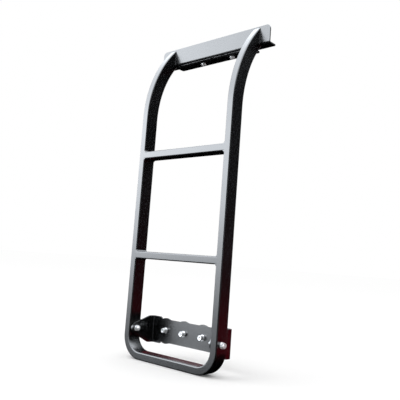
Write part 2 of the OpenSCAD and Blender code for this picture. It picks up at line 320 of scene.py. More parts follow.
def arc(cx, cy, r, start_deg, end_deg, steps):
    """Points on an arc, both ends included."""
    angles = np.radians(np.linspace(start_deg, end_deg, steps + 1))
    return [(cx + r * math.cos(a), cy + r * math.sin(a)) for a in angles]


def rounded_box_outline(x0, y0, x1, y1, radii, steps=8):
    """A rectangle, anticlockwise from its lower right corner, with its own radius at each corner."""
    corners = ((x1, y0, -1, 1, -90), (x1, y1, -1, -1, 0), (x0, y1, 1, -1, 90), (x0, y0, 1, 1, 180))
    out = []
    for (x, y, sx, sy, start), r in zip(corners, radii):
        out += arc(x + sx * r, y + sy * r, r, start, start + 90, steps)
    return out


def circle_outline(x, y, r, steps=40):
    """A hole: clockwise, so that its left-hand side is the sheet."""
    return arc(x, y, r, 360, 360 / steps, steps - 1)


def offset(loop, distance):
    """The loop moved to its left by a distance, its corners mitred."""
    p = np.asarray(loop, float)
    along = np.roll(p, -1, 0) - p
    along /= np.linalg.norm(along, axis=1)[:, None]
    left = np.stack([-along[:, 1], along[:, 0]], 1)
    before = np.roll(left, 1, 0)
    share = 1 + (left * before).sum(1)
    return p + distance * (left + before) / np.maximum(share, 0.3)[:, None]


def tidy_loop(loop, least=2e-5):
    """The loop without points that repeat."""
    out = []
    for p in loop:
        if not out or math.dist(p, out[-1]) > least:
            out.append(p)
    if math.dist(out[0], out[-1]) <= least:
        out.pop()
    return out


def closed_pairs(items):
    """Each item with the next one, and the last with the first."""
    return zip(items, items[1:] + items[:1])


def sheet_shell(loops, thickness, edge, place, cuts=(), steps=3):
    """Sheet metal or rubber with rounded edges. loops are flat (u, v): first its outline, then its holes.

    place(u, v, depth) folds a point into space. cuts are (axis, value) lines that divide the sheet, so that
    it can fold there.
    """
    rim = []
    for a in np.radians(np.linspace(0, 90, steps + 1)):
        rim.append((edge * (1 - math.sin(a)), edge * (1 - math.cos(a))))
    rim += [(inset, thickness - depth) for inset, depth in reversed(rim)]
    bm = bmesh.new()
    skins = {0: [], len(rim) - 1: []}
    for loop in map(tidy_loop, loops):
        rows = []
        for inset, depth in rim:
            rows.append([bm.verts.new((*p, depth)) for p in offset(loop, inset)])
        for lower, upper in zip(rows, rows[1:]):
            for (a, b), (c, d) in zip(closed_pairs(lower), closed_pairs(upper)):
                bm.faces.new((a, b, d, c))
        for k, edges in skins.items():
            edges += [bm.edges.get(pair) for pair in closed_pairs(rows[k])]
    for edges in skins.values():
        bmesh.ops.triangle_fill(bm, use_beauty=True, use_dissolve=True, edges=edges)
    for axis, value in cuts:
        normal = [0, 0, 0]
        normal[axis] = 1
        centre = [value * n for n in normal]
        geometry = list(bm.verts) + list(bm.edges) + list(bm.faces)
        bmesh.ops.bisect_plane(bm, geom=geometry, plane_co=centre, plane_no=normal, dist=HAIR)
    bm.verts.index_update()
    points = [place(*v.co) for v in bm.verts]
    faces = [[v.index for v in f.verts] for f in bm.faces]
    bm.free()
    return points, faces


def lathe_shell(profile, columns=96, closed=False, span=(0, 360), lift=0.0):
    """A skin turned about Z. profile(angle) lists (radius, height); closed joins its end to its start.

    A span under a full turn leaves a split, whose two faces are filled, and lift raises one over the other.
    """
    full = span[1] - span[0] >= 360
    angles = np.radians(np.linspace(*span, columns + 1))[:columns if full else None]
    rings = []
    for k, a in enumerate(angles):
        rise = lift * (k / max(len(angles) - 1, 1) - 0.5)
        rings.append([(r * math.cos(a), r * math.sin(a), z + rise) for r, z in profile(a)])
    size, count = len(rings[0]), len(rings)
    points = [p for ring in rings for p in ring]
    faces = []
    for k in range(count if full else count - 1):
        here, there = k * size, (k + 1) % count * size
        for i in range(size if closed else size - 1):
            j = (i + 1) % size
            faces.append((here + i, here + j, there + j, there + i))
    if not full:
        faces += [tuple(range(size)), tuple(range((count - 1) * size, count * size))]
    return points, faces


def moved(shells, matrix):
    return [([matrix @ Vector(p) for p in points], faces) for points, faces in shells]


def aimed(position, direction):
    """Matrix that takes +Z to a direction and the origin to a position."""
    turn = Vector(direction).to_track_quat("Z", "Y").to_matrix().to_4x4()
    return Matrix.Translation(Vector(position)) @ turn


def hexagon_radius(angle, across_flats):
    turn = (angle + math.pi / 6) % (math.pi / 3) - math.pi / 6
    return across_flats / 2 / math.cos(turn)


# ---------------------------------------------------------------- ladder frame

def tube_outline(steps=8, side_steps=1):
    """Section of the tube as (across, depth) offsets from its centre. Its long sides have side_steps."""
    corners = rounded_box_outline(-TUBE_W / 2, -TUBE_D / 2, TUBE_W / 2, TUBE_D / 2, [TUBE_R] * 4, steps)
    size = steps + 1
    out = []
    for k in range(4):
        out += corners[k * size:(k + 1) * size]
        if k % 2 == 0:
            start, end = out[-1], corners[(k + 1) * size]
            out += [(start[0], y) for y in np.linspace(start[1], end[1], side_steps + 1)[1:-1]]
    return out


def inside_bracket(y, z):
    """Is a point of the YZ plane inside the folded top bracket or behind it?"""
    fold_y = top_lo.y + FOLD_R
    if (y > top_lo.y and z > FOLD_R) or (y > fold_y and z > 0):
        return True
    return (y - fold_y) ** 2 + (z - FOLD_R) ** 2 < FOLD_R ** 2


def sweep_point(depth, angle):
    r = SWEEP_R - depth - TUBE_D / 2
    return SWEEP_Y - r * math.cos(angle), SWEEP_Z + r * math.sin(angle)


def sweep_end(depth):
    """Angle at which a line of the tube at that depth first meets the top bracket, found by halving."""
    low, high = 0.0, 1.0
    while not inside_bracket(*sweep_point(depth, high)):
        high += 0.05
    halvings, probes = 40, 12
    for _ in range(halvings):
        middle = (low + high) / 2
        steps = [low + (middle - low) * k / probes for k in range(probes + 1)]
        if any(inside_bracket(*sweep_point(depth, s)) for s in steps):
            high = middle
        else:
            low = middle
    return high


def frame_rings(sweep=56, straight=26, bend=33, foot=9):
    """Rings of the one bent tube: down the left rail, round the foot and up the right rail."""
    outline = tube_outline(side_steps=28)
    ends = [sweep_end(depth) for _, depth in outline]
    half = []
    for share in np.linspace(1, 0, sweep):
        ring = []
        for (across, depth), end in zip(outline, ends):
            y, z = sweep_point(depth, end * share)
            ring.append((RAIL_X + across, y, z))
        half.append(ring)
    foot_top = FOOT_Z + FOOT_R
    for z in np.linspace(SWEEP_Z, foot_top, straight)[1:-1]:
        half.append([(RAIL_X + a, MID_Y + d, z) for a, d in outline])
    for angle in np.radians(np.linspace(0, 90, bend)):
        ring = []
        for across, depth in outline:
            r = FOOT_R - TUBE_W / 2 + across
            ring.append((BEND_X + r * math.cos(angle), MID_Y + depth, foot_top - r * math.sin(angle)))
        half.append(ring)
    left = [[(-x, y, z) for x, y, z in ring] for ring in half]
    middle = []
    for x in np.linspace(-BEND_X, BEND_X, foot)[1:-1]:
        middle.append([(x, MID_Y + d, FOOT_Z + TUBE_W / 2 - a) for a, d in outline])
    return left + middle + half[::-1]


def build_frame_tube():
    """Each end is closed inside the bracket's folded corner, so that nothing shows behind the sheet."""
    corner = SHEET_T / 2
    hubs = [(side * RAIL_X, top_lo.y + corner, corner) for side in (-1, 1)]
    piece("side_frame_tube", [grid_shell(frame_rings(), hubs)], PAINT, "ladder",
          ("rail_left", "rail_right", "foot_tube"))


def build_rung(name, low, high, count=13):
    """A rung runs into the rails as far as their rounded corners, so that the fronts meet flush."""
    middle_z = (low.z + high.z) / 2
    rings = []
    reach = INNER_X + TUBE_R
    for x in np.linspace(-reach, reach, count):
        rings.append([(x, MID_Y + depth, middle_z + across) for across, depth in tube_outline()])
    piece(name + "_tube", [grid_shell(rings)], PAINT, "ladder", (name,))


def bead_shell(path, out_u, out_v, leg, root, steps=7):
    """A weld fillet along a path of points. out_u and out_v are its two legs' directions at each point.

    root is how far its hidden corner sinks into the parts. The bead swells and shrinks in a row of pools.
    """
    path = [np.array(p, float) for p in path]
    gaps = [np.linalg.norm(b - a) for a, b in zip(path, path[1:])]
    travelled = np.concatenate([[0], np.cumsum(gaps)])
    rings = []
    for k, p in enumerate(path):
        from_end = min(1, min(travelled[k], travelled[-1] - travelled[k]) / (leg / 2))
        taper = END_SIZE + (1 - END_SIZE) * math.sqrt(max(0.0, 1 - (1 - from_end) ** 2))
        pool = (travelled[k] / POOL) % 1.0
        size = leg * taper * (1 + RIPPLE * (math.sqrt(1 - (2 * pool - 1) ** 2) - 0.5))
        u, v = np.array(out_u[k], float), np.array(out_v[k], float)
        ring = [p - root * u - root * v, p + size * u - root * v]
        for a in np.radians(np.linspace(0, 90, steps + 1)):
            hollow = np.array((1 - math.sin(a), 1 - math.cos(a)))
            straight = np.array((1 - a / (math.pi / 2), a / (math.pi / 2)))
            x, y = size * (HOLLOW * hollow + (1 - HOLLOW) * straight)
            ring.append(p + x * u + y * v)
        ring.append(p - root * u + size * v)
        rings.append(ring)
    return grid_shell(rings)


def build_rung_welds(name, low, high, count=120):
    depths = np.linspace(FRONT_Y + RUNG_WELD_INSET, BACK_Y - RUNG_WELD_INSET, count)
    shells = []
    for side in (-1, 1):
        for up, z in ((1, high.z), (-1, low.z)):
            path = [(side * INNER_X, y, z) for y in depths]
            out_u, out_v = [(-side, 0, 0)] * count, [(0, 0, up)] * count
            shells.append(bead_shell(path, out_u, out_v, RUNG_WELD, TUBE_R))
    piece(name + "_welds", shells, PAINT, "ladder", sharp_deg=60)


def seam_path(plate=110, fold=25, flange=14):
    """Seam between a rail's side and the top bracket, from the top down, with the bracket's outward normals.

    plate, fold and flange are how many points it has along each.
    """
    front, back = sweep_end(-TUBE_D / 2), sweep_end(TUBE_D / 2)
    top_z = sweep_point(-TUBE_D / 2, front)[1]
    end_y = sweep_point(TUBE_D / 2, back)[0]
    path = [((top_lo.y, z), (-1, 0)) for z in np.linspace(top_z - TUBE_R, FOLD_R, plate)]
    for a in np.radians(np.linspace(180, 270, fold))[1:]:
        out = (math.cos(a), math.sin(a))
        path.append(((top_lo.y + FOLD_R + FOLD_R * out[0], FOLD_R + FOLD_R * out[1]), out))
    path += [((y, 0), (0, -1)) for y in np.linspace(top_lo.y + FOLD_R, end_y - TUBE_R, flange)[1:]]
    return path


def build_top_welds():
    seam = seam_path()
    shells = []
    for side in (-1, 1):
        for face_x, out in ((INNER_X, -1), (HALF_W, 1)):
            path = [(side * face_x, y, z) for (y, z), _ in seam]
            across = [(side * out, 0, 0)] * len(seam)
            away = [(0, ny, nz) for _, (ny, nz) in seam]
            shells.append(bead_shell(path, across, away, TOP_WELD, TOP_WELD_ROOT))
    piece("top_bracket_welds", shells, PAINT, "ladder", sharp_deg=60)


# ---------------------------------------------------------------- brackets, jaw and rubber

# where a sheet is divided across a fold
FOLD_SHARES = [k / 10 for k in range(11)]


def build_top_bracket():
    """Folded sheet, drawn flat with v running down the plate, round the fold and back along the flange."""
    plate = top_hi.z - FOLD_R
    fold = (FOLD_R - SHEET_T / 2) * math.pi / 2
    flange = top_hi.y - (top_lo.y + FOLD_R)
    total = plate + fold + flange

    def place(x, v, depth):
        if v <= plate:
            return x, top_lo.y + depth, top_hi.z - v
        if v <= plate + fold:
            a = (v - plate) / fold * math.pi / 2
            r = FOLD_R - depth
            return x, top_lo.y + FOLD_R - r * math.cos(a), FOLD_R - r * math.sin(a)
        return x, top_lo.y + FOLD_R + v - plate - fold, depth

    radii = [TOP_CORNER_R, FLANGE_CORNER_R, FLANGE_CORNER_R, TOP_CORNER_R]
    outline = rounded_box_outline(top_lo.x, 0, top_hi.x, total, radii, 14)
    hole_v = plate + fold + CLAMP_Y - (top_lo.y + FOLD_R)
    holes = [circle_outline(x, hole_v, HOLE_R) for x in CLAMP_X]
    cuts = [(1, plate + fold * share) for share in FOLD_SHARES]
    shell = sheet_shell([outline] + holes, SHEET_T, SHEET_EDGE, place, cuts)
    piece("top_bracket_sheet", [shell], BRACKET_PAINT, "ladder", ("top_bracket",))


def lobed_height(u, lobes):
    """Height of the lower plate's edge over its middle line: level, with a round lobe at each bolt."""
    best = WAIST_H
    for x in lobes:
        if abs(u - x) < LOBE_R:
            best = max(best, math.sqrt(LOBE_R ** 2 - (u - x) ** 2))
    return best


def lower_edge(lobes, full, turn_u, nose):
    """One long edge of the flat lower bracket, from its left nose to its right nose, as (u, height)."""
    flank = EAR_OUT_X - FLANK_INSET
    inner = [flank, -flank]
    for x in lobes:
        half = math.sqrt(LOBE_R ** 2 - WAIST_H ** 2)
        inner += list(np.linspace(x - half, x + half, 15))
    level = [(u, lobed_height(u, lobes)) for u in sorted(inner) if abs(u) <= flank]
    right = arc(flank + FLANK_R, full - FLANK_R, FLANK_R, 180, 90, 5)
    right.append((turn_u, full))
    right += nose
    return [(-u, h) for u, h in reversed(right)] + level + right


def build_lower_bracket():
    """Folded sheet, drawn flat with u across: the plate, a fold at each end and the two ears."""
    flat_x = EAR_OUT_X - FOLD_R
    fold = (FOLD_R - SHEET_T / 2) * math.pi / 2
    fold_y = plate_hi.y - FOLD_R
    full = (plate_hi.z - plate_lo.z) / 2
    turn_u = flat_x + fold
    nose_u = turn_u + fold_y - MID_Y
    nose_h = PIVOT_Z - EAR_MID_Z

    def place(u, h, depth):
        side, far = (1 if u > 0 else -1), abs(u)
        z = EAR_MID_Z + h
        if far <= flat_x:
            return u, plate_hi.y - depth, z
        if far <= turn_u:
            a = (far - flat_x) / fold * math.pi / 2
            r = FOLD_R - depth
            return side * (flat_x + r * math.sin(a)), fold_y + r * math.cos(a), z
        return side * (EAR_OUT_X - depth), fold_y - (far - turn_u), z

    def ear_arcs(nose_height):
        """Upper corner, straight slope and half the nose, for an edge that is drawn upwards."""
        rise = nose_height - (full - NOSE_R)
        slope = math.degrees(math.atan2(rise, NOSE_TO_CORNER))
        corner = arc(nose_u - NOSE_TO_CORNER, full - NOSE_R, NOSE_R, 90, 90 + slope, 8)
        return corner + arc(nose_u, nose_height, NOSE_R, 90 + slope, 0, 22)

    top = lower_edge(list(DOOR_X), full, turn_u, ear_arcs(nose_h))
    bottom = lower_edge([DOOR_X[0]], full, turn_u, ear_arcs(-nose_h))
    outline = [(u, -h) for u, h in bottom] + list(reversed(top))
    holes = [circle_outline(x, DOOR_Z - EAR_MID_Z, HOLE_R) for x in DOOR_X]
    holes += [circle_outline(side * nose_u, nose_h, PIVOT_HOLE_R) for side in (-1, 1)]
    cuts = [(0, side * (flat_x + fold * share)) for side in (-1, 1) for share in FOLD_SHARES]
    shell = sheet_shell([outline] + holes, SHEET_T, SHEET_EDGE, place, cuts)
    piece("lower_bracket_sheet", [shell], LOWER_PAINT, "bracket", ("lower_bracket",))


def build_strip(name, node, body):
    """A level rubber strip with rounded corners and a hole at each clamp bolt, in its CAD node's box."""
    low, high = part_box(node)
    outline = rounded_box_outline(low.x, low.y, high.x, high.y, [STRIP_CORNER_R] * 4, 8)
    holes = [circle_outline(x, CLAMP_Y, PAD_HOLE_R) for x in CLAMP_X]

    def place(x, y, depth):
        return x, y, low.z + depth

    shell = sheet_shell([outline] + holes, high.z - low.z, STRIP_EDGE, place)
    piece(name, [shell], RUBBER, body, (node,))


def build_clamp_jaw():
    """A plate whose front edge is bevelled underneath."""
    outline = rounded_box_outline(jaw_lo.x, jaw_lo.y, jaw_hi.x, jaw_hi.y, [JAW_CORNER_R] * 4, 8)
    holes = [circle_outline(x, CLAMP_Y, HOLE_R) for x in CLAMP_X]
    thick = jaw_hi.z - jaw_lo.z

    def place(x, y, depth):
        rise = JAW_BEVEL_H * max(0.0, 1 - (y - jaw_lo.y) / JAW_BEVEL_D)
        return x, y, jaw_lo.z + rise + depth * (1 - rise / thick)

    shell = sheet_shell([outline] + holes, thick, JAW_EDGE, place, [(1, jaw_lo.y + JAW_BEVEL_D)])
    piece("clamp_jaw_plate", [shell], BRACKET_PAINT, "clamp", ("clamp_jaw",), sharp_deg=20)


def build_lower_pad():
    low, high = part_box("lower_bracket_pad")
    outline = rounded_box_outline(low.x, low.z, high.x, high.z, [PAD_CORNER_R] * 4, 8)
    holes = [circle_outline(x, DOOR_Z, PAD_HOLE_R) for x in DOOR_X]

    def place(x, z, depth):
        return x, low.y + depth, z

    shell = sheet_shell([outline] + holes, high.y - low.y, PAD_EDGE, place)
    piece("lower_pad_rubber", [shell], RUBBER, "bracket", ("lower_bracket_pad",))


# ---------------------------------------------------------------- hardware, drawn along +Z from its seat

def plain_ring(inner, outer, low, high, edge, **turning):
    """A ring of rectangular section with its four edges chamfered."""
    def profile(_):
        return [(inner, low + edge), (inner + edge, low), (outer - edge, low), (outer, low + edge),
                (outer, high - edge), (outer - edge, high), (inner + edge, high), (inner, high - edge)]

    return [lathe_shell(profile, closed=True, **turning)]


def flat_washer():
    return plain_ring(HOLE_R, WASHER_R, 0, WASHER_T, 0.25 * MM)


def spring_washer():
    """Split ring, pressed nearly flat, with the step at its split still just showing."""
    edge, step = 0.3 * MM, 0.25 * MM
    split = (9, 351)
    return plain_ring(HOLE_R, SPRING_R, step / 2, SPRING_T - step / 2, edge, span=split, lift=step)


def rounded_rim(r, top, radius, steps=5):
    """Profile points over a rounded outer edge, from the top face out and down."""
    return [(r - radius + radius * math.sin(a), top - radius + radius * math.cos(a))
            for a in np.radians(np.linspace(0, 90, steps + 1))]


def socket_profile(angle, across_flats, top, depth):
    """Hexagon socket with a drilled bottom and a bevelled mouth, from its centre out to the top face."""
    drill_r, drill_depth = across_flats * 0.42, 0.7 * MM
    wall = hexagon_radius(angle, across_flats)
    mouth = across_flats / 2 / math.cos(math.pi / 6) + 0.15 * MM
    bevel = (mouth - wall) * 0.55
    floor = top - depth
    return [(0, floor - drill_depth), (drill_r, floor), (wall, floor), (wall, top - bevel), (mouth, top)]


def cap_head():
    """Socket head with a knurled side."""
    knurls, knurl_depth, columns_each = 56, 0.13 * MM, 4
    socket_depth, rim_r, foot = 4.5 * MM, 0.7 * MM, 0.25 * MM
    band = ((0, CAP_H - 0.75 * MM), (1, CAP_H - 1.15 * MM), (1, 1.0 * MM), (0, 0.6 * MM))

    def profile(angle):
        groove = knurl_depth * (0.5 - 0.5 * math.cos(knurls * angle))
        out = socket_profile(angle, CAP_KEY, CAP_H, socket_depth)
        out += rounded_rim(CAP_R, CAP_H, rim_r)[:-1]
        out += [(CAP_R - groove * share, z) for share, z in band]
        out += [(CAP_R, foot), (CAP_R - foot, 0), (0, 0)]
        return out

    return [lathe_shell(profile, columns=knurls * columns_each)]


def button_head():
    """Domed head with a flat round its socket."""
    flat_r, flat_drop, socket_depth = 3.6 * MM, 0.45 * MM, 2.4 * MM
    rim_r, rim_h, foot_r = BUTTON_R - 0.2 * MM, 0.15 * MM, BUTTON_R - 0.35 * MM
    dome = (BUTTON_R ** 2 + BUTTON_H ** 2) / (2 * BUTTON_H)

    def profile(angle):
        out = socket_profile(angle, BUTTON_KEY, BUTTON_H - flat_drop, socket_depth)
        for a in np.linspace(math.asin(flat_r / dome), math.asin(rim_r / dome), 12):
            out.append((dome * math.sin(a), BUTTON_H - dome + dome * math.cos(a)))
        out += [(rim_r, rim_h), (foot_r, 0), (0, 0)]
        return out

    return [lathe_shell(profile)]


def shank(grip):
    """Plain part under the head, its end buried in the head."""
    def profile(_):
        return [(0, BURIED), (BOLT_R, BURIED), (BOLT_R, -grip), (0, -grip)]

    return lathe_shell(profile, columns=48)


def thread(start, end, columns=40):
    """A true V thread down -Z from start to end, chamfered at its tip."""
    # places along one pitch, as shares of it, where the crest and the root begin and end
    rows = [(0.0, THREAD_R), (1 / 8, THREAD_R), (7 / 16, THREAD_ROOT_R), (11 / 16, THREAD_ROOT_R)]
    turns = int((start - end) / THREAD_PITCH) + 3
    tip_r = THREAD_ROOT_R - 0.25 * MM
    points = []
    for turn in range(-1, turns):
        for share, r in rows:
            for i in range(columns):
                down = THREAD_PITCH * (turn + share + i / columns)
                z = min(start, max(end, start - down))
                size = THREAD_R if down <= 0 else min(r, tip_r + z - end)
                a = 2 * math.pi * i / columns
                points.append((size * math.cos(a), size * math.sin(a), z))
    count = len(points) // columns
    faces = []
    for k in range(count - 1):
        for i in range(columns - 1):
            here = k * columns + i
            faces.append((here, here + 1, here + columns + 1, here + columns))
        if k + len(rows) + 1 < count:
            last, wrap = k * columns + columns - 1, (k + len(rows)) * columns
            faces.append((last, wrap, wrap + columns, last + columns))
    for z in (start, end):
        r = THREAD_R if z == start else tip_r
        hub = len(points)
        points.append((0, 0, z))
        ring = []
        for i in range(columns):
            a = 2 * math.pi * i / columns
            points.append((r * math.cos(a), r * math.sin(a), z))
            ring.append(hub + 1 + i)
        faces += [(hub, ring[i], ring[(i + 1) % columns]) for i in range(columns)]
    return points, faces


def screw(head, grip, length):
    return head + [shank(grip), thread(BURIED - grip, -length)]


def lock_nut():
    """Hexagon bevelled at both ends under a round collar."""
    bevel_r = NUT_AF / 2 * 0.96
    slope = math.tan(math.radians(30))
    mouth_r, mouth_h = NUT_BORE_R + 0.4 * MM, 0.3 * MM
    fillet_r, fillet_h = COLLAR_R + 0.35 * MM, NUT_HEX_H + 0.3 * MM
    rim_r, lip_r, recess_r, recess_z = 0.6 * MM, COLLAR_R - 1.0 * MM, COLLAR_R - 1.1 * MM, NUT_H - 0.35 * MM

    def profile(angle):
        wall = hexagon_radius(angle, NUT_AF)
        bevel = (wall - bevel_r) * slope
        out = [(NUT_BORE_R, mouth_h), (mouth_r, 0), (bevel_r, 0), (wall, bevel), (wall, NUT_HEX_H - bevel),
               (bevel_r, NUT_HEX_H), (fillet_r, NUT_HEX_H), (COLLAR_R, fillet_h)]
        out += rounded_rim(COLLAR_R, NUT_H, rim_r)[::-1]
        out += [(lip_r, NUT_H), (recess_r, recess_z), (NUT_BORE_R, recess_z)]
        return out

    return [lathe_shell(profile, closed=True)]


def nut_insert():
    """Nylon ring held in the nut's collar."""
    inner, outer = 4.02 * MM, 4.6 * MM
    low, high = NUT_H - 1.6 * MM, NUT_H - 0.2 * MM
    edge = 0.1 * MM

    def profile(_):
        return [(inner, low), (outer, low), (outer, high - edge), (outer - 2 * edge, high),
                (inner + edge, high), (inner, high - edge)]

    return [lathe_shell(profile, columns=64, closed=True)]


def set_of(names, shells, matrices, material, body, node):
    """The same fastener at several places, each its own piece. If a node is named, they stand for it."""
    for name, matrix in zip(names, matrices):
        piece(name, moved(shells, matrix), material, body, (node,) if node else ())


def turned(matrices, degrees):
    """The matrices with each fastener turned by its own angle about its axis, as hands leave them."""
    return [m @ Matrix.Rotation(math.radians(d), 4, "Z") for m, d in zip(matrices, degrees)]


def build_door_hardware():
    names = [f"_{n}" for n in ("left", "middle", "right")]

    def stacked(height):
        """Places at a height above the plate."""
        return [aimed((x, PLATE_Y - height, DOOR_Z), (0, -1, 0)) for x in DOOR_X]

    head = WASHER_T + SPRING_T
    pad_t = 3 * MM
    grip = head + SHEET_T + pad_t
    length = door_hi.y - PLATE_Y + head
    springs, heads = turned(stacked(WASHER_T), (20, 75, 48)), turned(stacked(head), (7, 31, 52))
    set_of(["door_washer" + n for n in names], flat_washer(), stacked(0),
           STEEL, "bracket", "door_bolt_flat_washers")
    set_of(["door_spring_washer" + n for n in names], spring_washer(), springs,
           STEEL, "bracket", "door_bolt_spring_washers")
    set_of(["door_bolt" + n for n in names], screw(cap_head(), grip, length), heads,
           STEEL, "bracket", "door_bolts")


def build_clamp_hardware():
    names = [f"_{n}" for n in ("left", "right")]

    def below(height):
        """Places under the jaw, facing down."""
        return [aimed((x, CLAMP_Y, jaw_lo.z - height), (0, 0, -1)) for x in CLAMP_X]

    def above(height):
        """Places on top of the flange, facing up."""
        return [aimed((x, CLAMP_Y, SHEET_T + height), (0, 0, 1)) for x in CLAMP_X]

    grip = WASHER_T + SHEET_T
    length = clamp_hi.z - (jaw_lo.z - WASHER_T)
    heads, nuts = turned(below(WASHER_T), (10, 35)), turned(above(WASHER_T), (14, 41))
    set_of(["clamp_washer" + n for n in names], flat_washer(), below(0),
           STEEL, "clamp", "clamp_bolt_washers")
    set_of(["clamp_bolt" + n for n in names], screw(button_head(), grip, length), heads,
           STEEL, "clamp", "clamp_bolts")
    set_of(["clamp_nut_washer" + n for n in names], flat_washer(), above(0),
           STEEL, "ladder", "clamp_nut_washers")
    set_of(["clamp_nut" + n for n in names], lock_nut(), nuts,
           STEEL, "ladder", "clamp_nuts")
    set_of(["clamp_nut_insert" + n for n in names], nut_insert(), nuts,
           INSERT, "ladder", None)


def build_pivot_hardware():
    """From outside in: head, washer, the rail and its sleeve, spacer, the ear, washer and nut."""
    names = [f"_{n}" for n in ("left", "right")]
    ear_in = EAR_OUT_X - SHEET_T
    gap = 0.05 * MM
    head_x = HALF_W + WASHER_T
    length = head_x - min(abs(v.co.x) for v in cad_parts["pivot_bolts"].data.vertices)

    def outward(x):
        return [aimed((side * x, MID_Y, PIVOT_Z), (side, 0, 0)) for side in (-1, 1)]

    def inward(x):
        return [aimed((side * x, MID_Y, PIVOT_Z), (-side, 0, 0)) for side in (-1, 1)]

    spacer_lo, spacer_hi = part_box("pivot_spacers")
    sleeve_lo, sleeve_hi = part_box("pivot_sleeves")
    spacer_t, spacer_r = INNER_X - EAR_OUT_X - gap, (spacer_hi.z - spacer_lo.z) / 2
    wall, sleeve_r = HALF_W - sleeve_hi.x, (sleeve_hi.z - sleeve_lo.z) / 2
    chamfer = 0.3 * MM
    spacer = plain_ring(HOLE_R, spacer_r, 0, spacer_t, chamfer)
    sleeve = plain_ring(HOLE_R, sleeve_r, 0, TUBE_W - 2 * wall, chamfer)
    bolts, nuts = turned(outward(head_x), (24, 3)), turned(inward(ear_in - gap - WASHER_T), (19, 47))
    set_of(["pivot_washer" + n for n in names], flat_washer(), outward(HALF_W),
           STEEL, "ladder", "pivot_head_washers")
    set_of(["pivot_bolt" + n for n in names], screw(cap_head(), head_x - ear_in, length), bolts,
           STEEL, "ladder", "pivot_bolts")
    set_of(["pivot_spacer" + n for n in names], spacer, inward(INNER_X),
           NYLON, "ladder", "pivot_spacers")
    set_of(["pivot_nut_washer" + n for n in names], flat_washer(), inward(ear_in - gap),
           STEEL, "ladder", "pivot_nut_washers")
    set_of(["pivot_nut" + n for n in names], lock_nut(), nuts,
           STEEL, "ladder", "pivot_nuts")
    set_of(["pivot_nut_insert" + n for n in names], nut_insert(), nuts,
           INSERT, "ladder", None)
    set_of(["pivot_sleeve" + n for n in names], sleeve, outward(INNER_X + wall),
           SLEEVE_STEEL, "ladder", "pivot_sleeves")


# ---------------------------------------------------------------- camera, floor and light

CAMERA_AT = (0.9938, -1.1087, -0.5724)
CAMERA_YAW, CAMERA_PITCH, CAMERA_ROLL = 42.09, 6.26, 4.25
SENSOR_MM, LENS_MM = 36, 48.9
FLOOR_HALF, FLOOR_GAP, FLOOR_TONE = 30, 0.5 * MM, 0.99
LAMP_AT, LAMP_AIM, LAMP_SIDE, LAMP_WATTS = (-1.6, -2.2, 2.2), (0, 0, -0.4), 2.4, 26

# The studio that the paint mirrors. Compass points are degrees from +Y towards +X. Edges are where a patch
# of light begins and is full, as cosines of the angle from its compass point. Bands are heights, as the Z of
# a direction. The rest are brightnesses.
WALL_TO, WALL_EDGE = 222, (0.5, 0.92)
WALL_FOOT, WALL_TOP, WALL_BAND = 0.45, 9.2, (-0.2, 0.2)
WALL_FADE, FADE_BAND = -4.8, (0.15, 0.8)
CEILING, CEILING_BAND = 6.0, (0.4, 0.85)
PANELS_TO, PANEL_EDGE = (97, 8), (0.95, 1.0)
PANEL_FOOT, PANEL_TOP, PANEL_BAND = 0.2, 2.2, (-0.3, 0.3)
ROOM_LOW, ROOM_HIGH, ROOM_BAND = 0.0, 0.03, (-0.12, 0.12)
RED_SHARE, BLUE_SHARE = 0.95, 1.06

# dim red light, which the photograph's lower right side mirrors: back right, a band below it, and back left
EMBER_TO, EMBER_EDGE = 44, (0.75, 0.98)
EMBER, EMBER_BAND = 0.045, (-0.06, 0.1)
EMBER_LOW, LOW_RISE, LOW_FALL = 0.32, (-0.27, -0.2), (-0.14, -0.06)
EMBER_LEFT_TO, EMBER_LEFT_EDGE = 318, (0.85, 0.97)
EMBER_LEFT, LEFT_RISE, LEFT_FALL = 0.2, (0.0, 0.12), (0.2, 0.4)
EMBER_BLUE = 0.05


def build_camera():
    """The photograph's viewpoint: from the front right, low down, tilted up a little and rolled."""
    yaw, pitch, roll = (math.radians(a) for a in (CAMERA_YAW, CAMERA_PITCH, CAMERA_ROLL))
    forward = Vector((-math.sin(yaw) * math.cos(pitch), math.cos(yaw) * math.cos(pitch), math.sin(pitch)))
    level = Vector((math.cos(yaw), math.sin(yaw), 0))
    up = level.cross(forward)
    right = level * math.cos(roll) + up * math.sin(roll)
    up = right.cross(forward)
    camera = bpy.data.objects.new("camera", bpy.data.cameras.new("camera"))
    bpy.context.scene.collection.objects.link(camera)
    camera.data.sensor_width = SENSOR_MM
    camera.data.lens = LENS_MM
    camera.data.clip_start, camera.data.clip_end = 0.01, 100
    turn = Matrix((right, up, -forward)).transposed().to_4x4()
    camera.matrix_world = Matrix.Translation(CAMERA_AT) @ turn
    bpy.context.scene.camera = camera


def build_floor():
    """A pale floor just under the ladder's foot, left out of reflections."""
    mesh = bpy.data.meshes.new("studio_floor")
    corners = [(x, y, FOOT_Z - FLOOR_GAP) for x, y in ((-1, -1), (1, -1), (1, 1), (-1, 1))]
    mesh.from_pydata([(x * FLOOR_HALF, y * FLOOR_HALF, z) for x, y, z in corners], [], [(0, 1, 2, 3)])
    floor = bpy.data.objects.new("studio_floor", mesh)
    bpy.context.scene.collection.objects.link(floor)
    material = bpy.data.materials.new("pale_floor")
    nodes = Nodes(material)
    out = nodes.add("ShaderNodeOutputMaterial")
    shader = nodes.add("ShaderNodeBsdfDiffuse", Color=(FLOOR_TONE, FLOOR_TONE, FLOOR_TONE, 1))
    nodes.link(shader.outputs["BSDF"], out.inputs["Surface"])
    mesh.materials.append(material)
    floor.visible_glossy = False


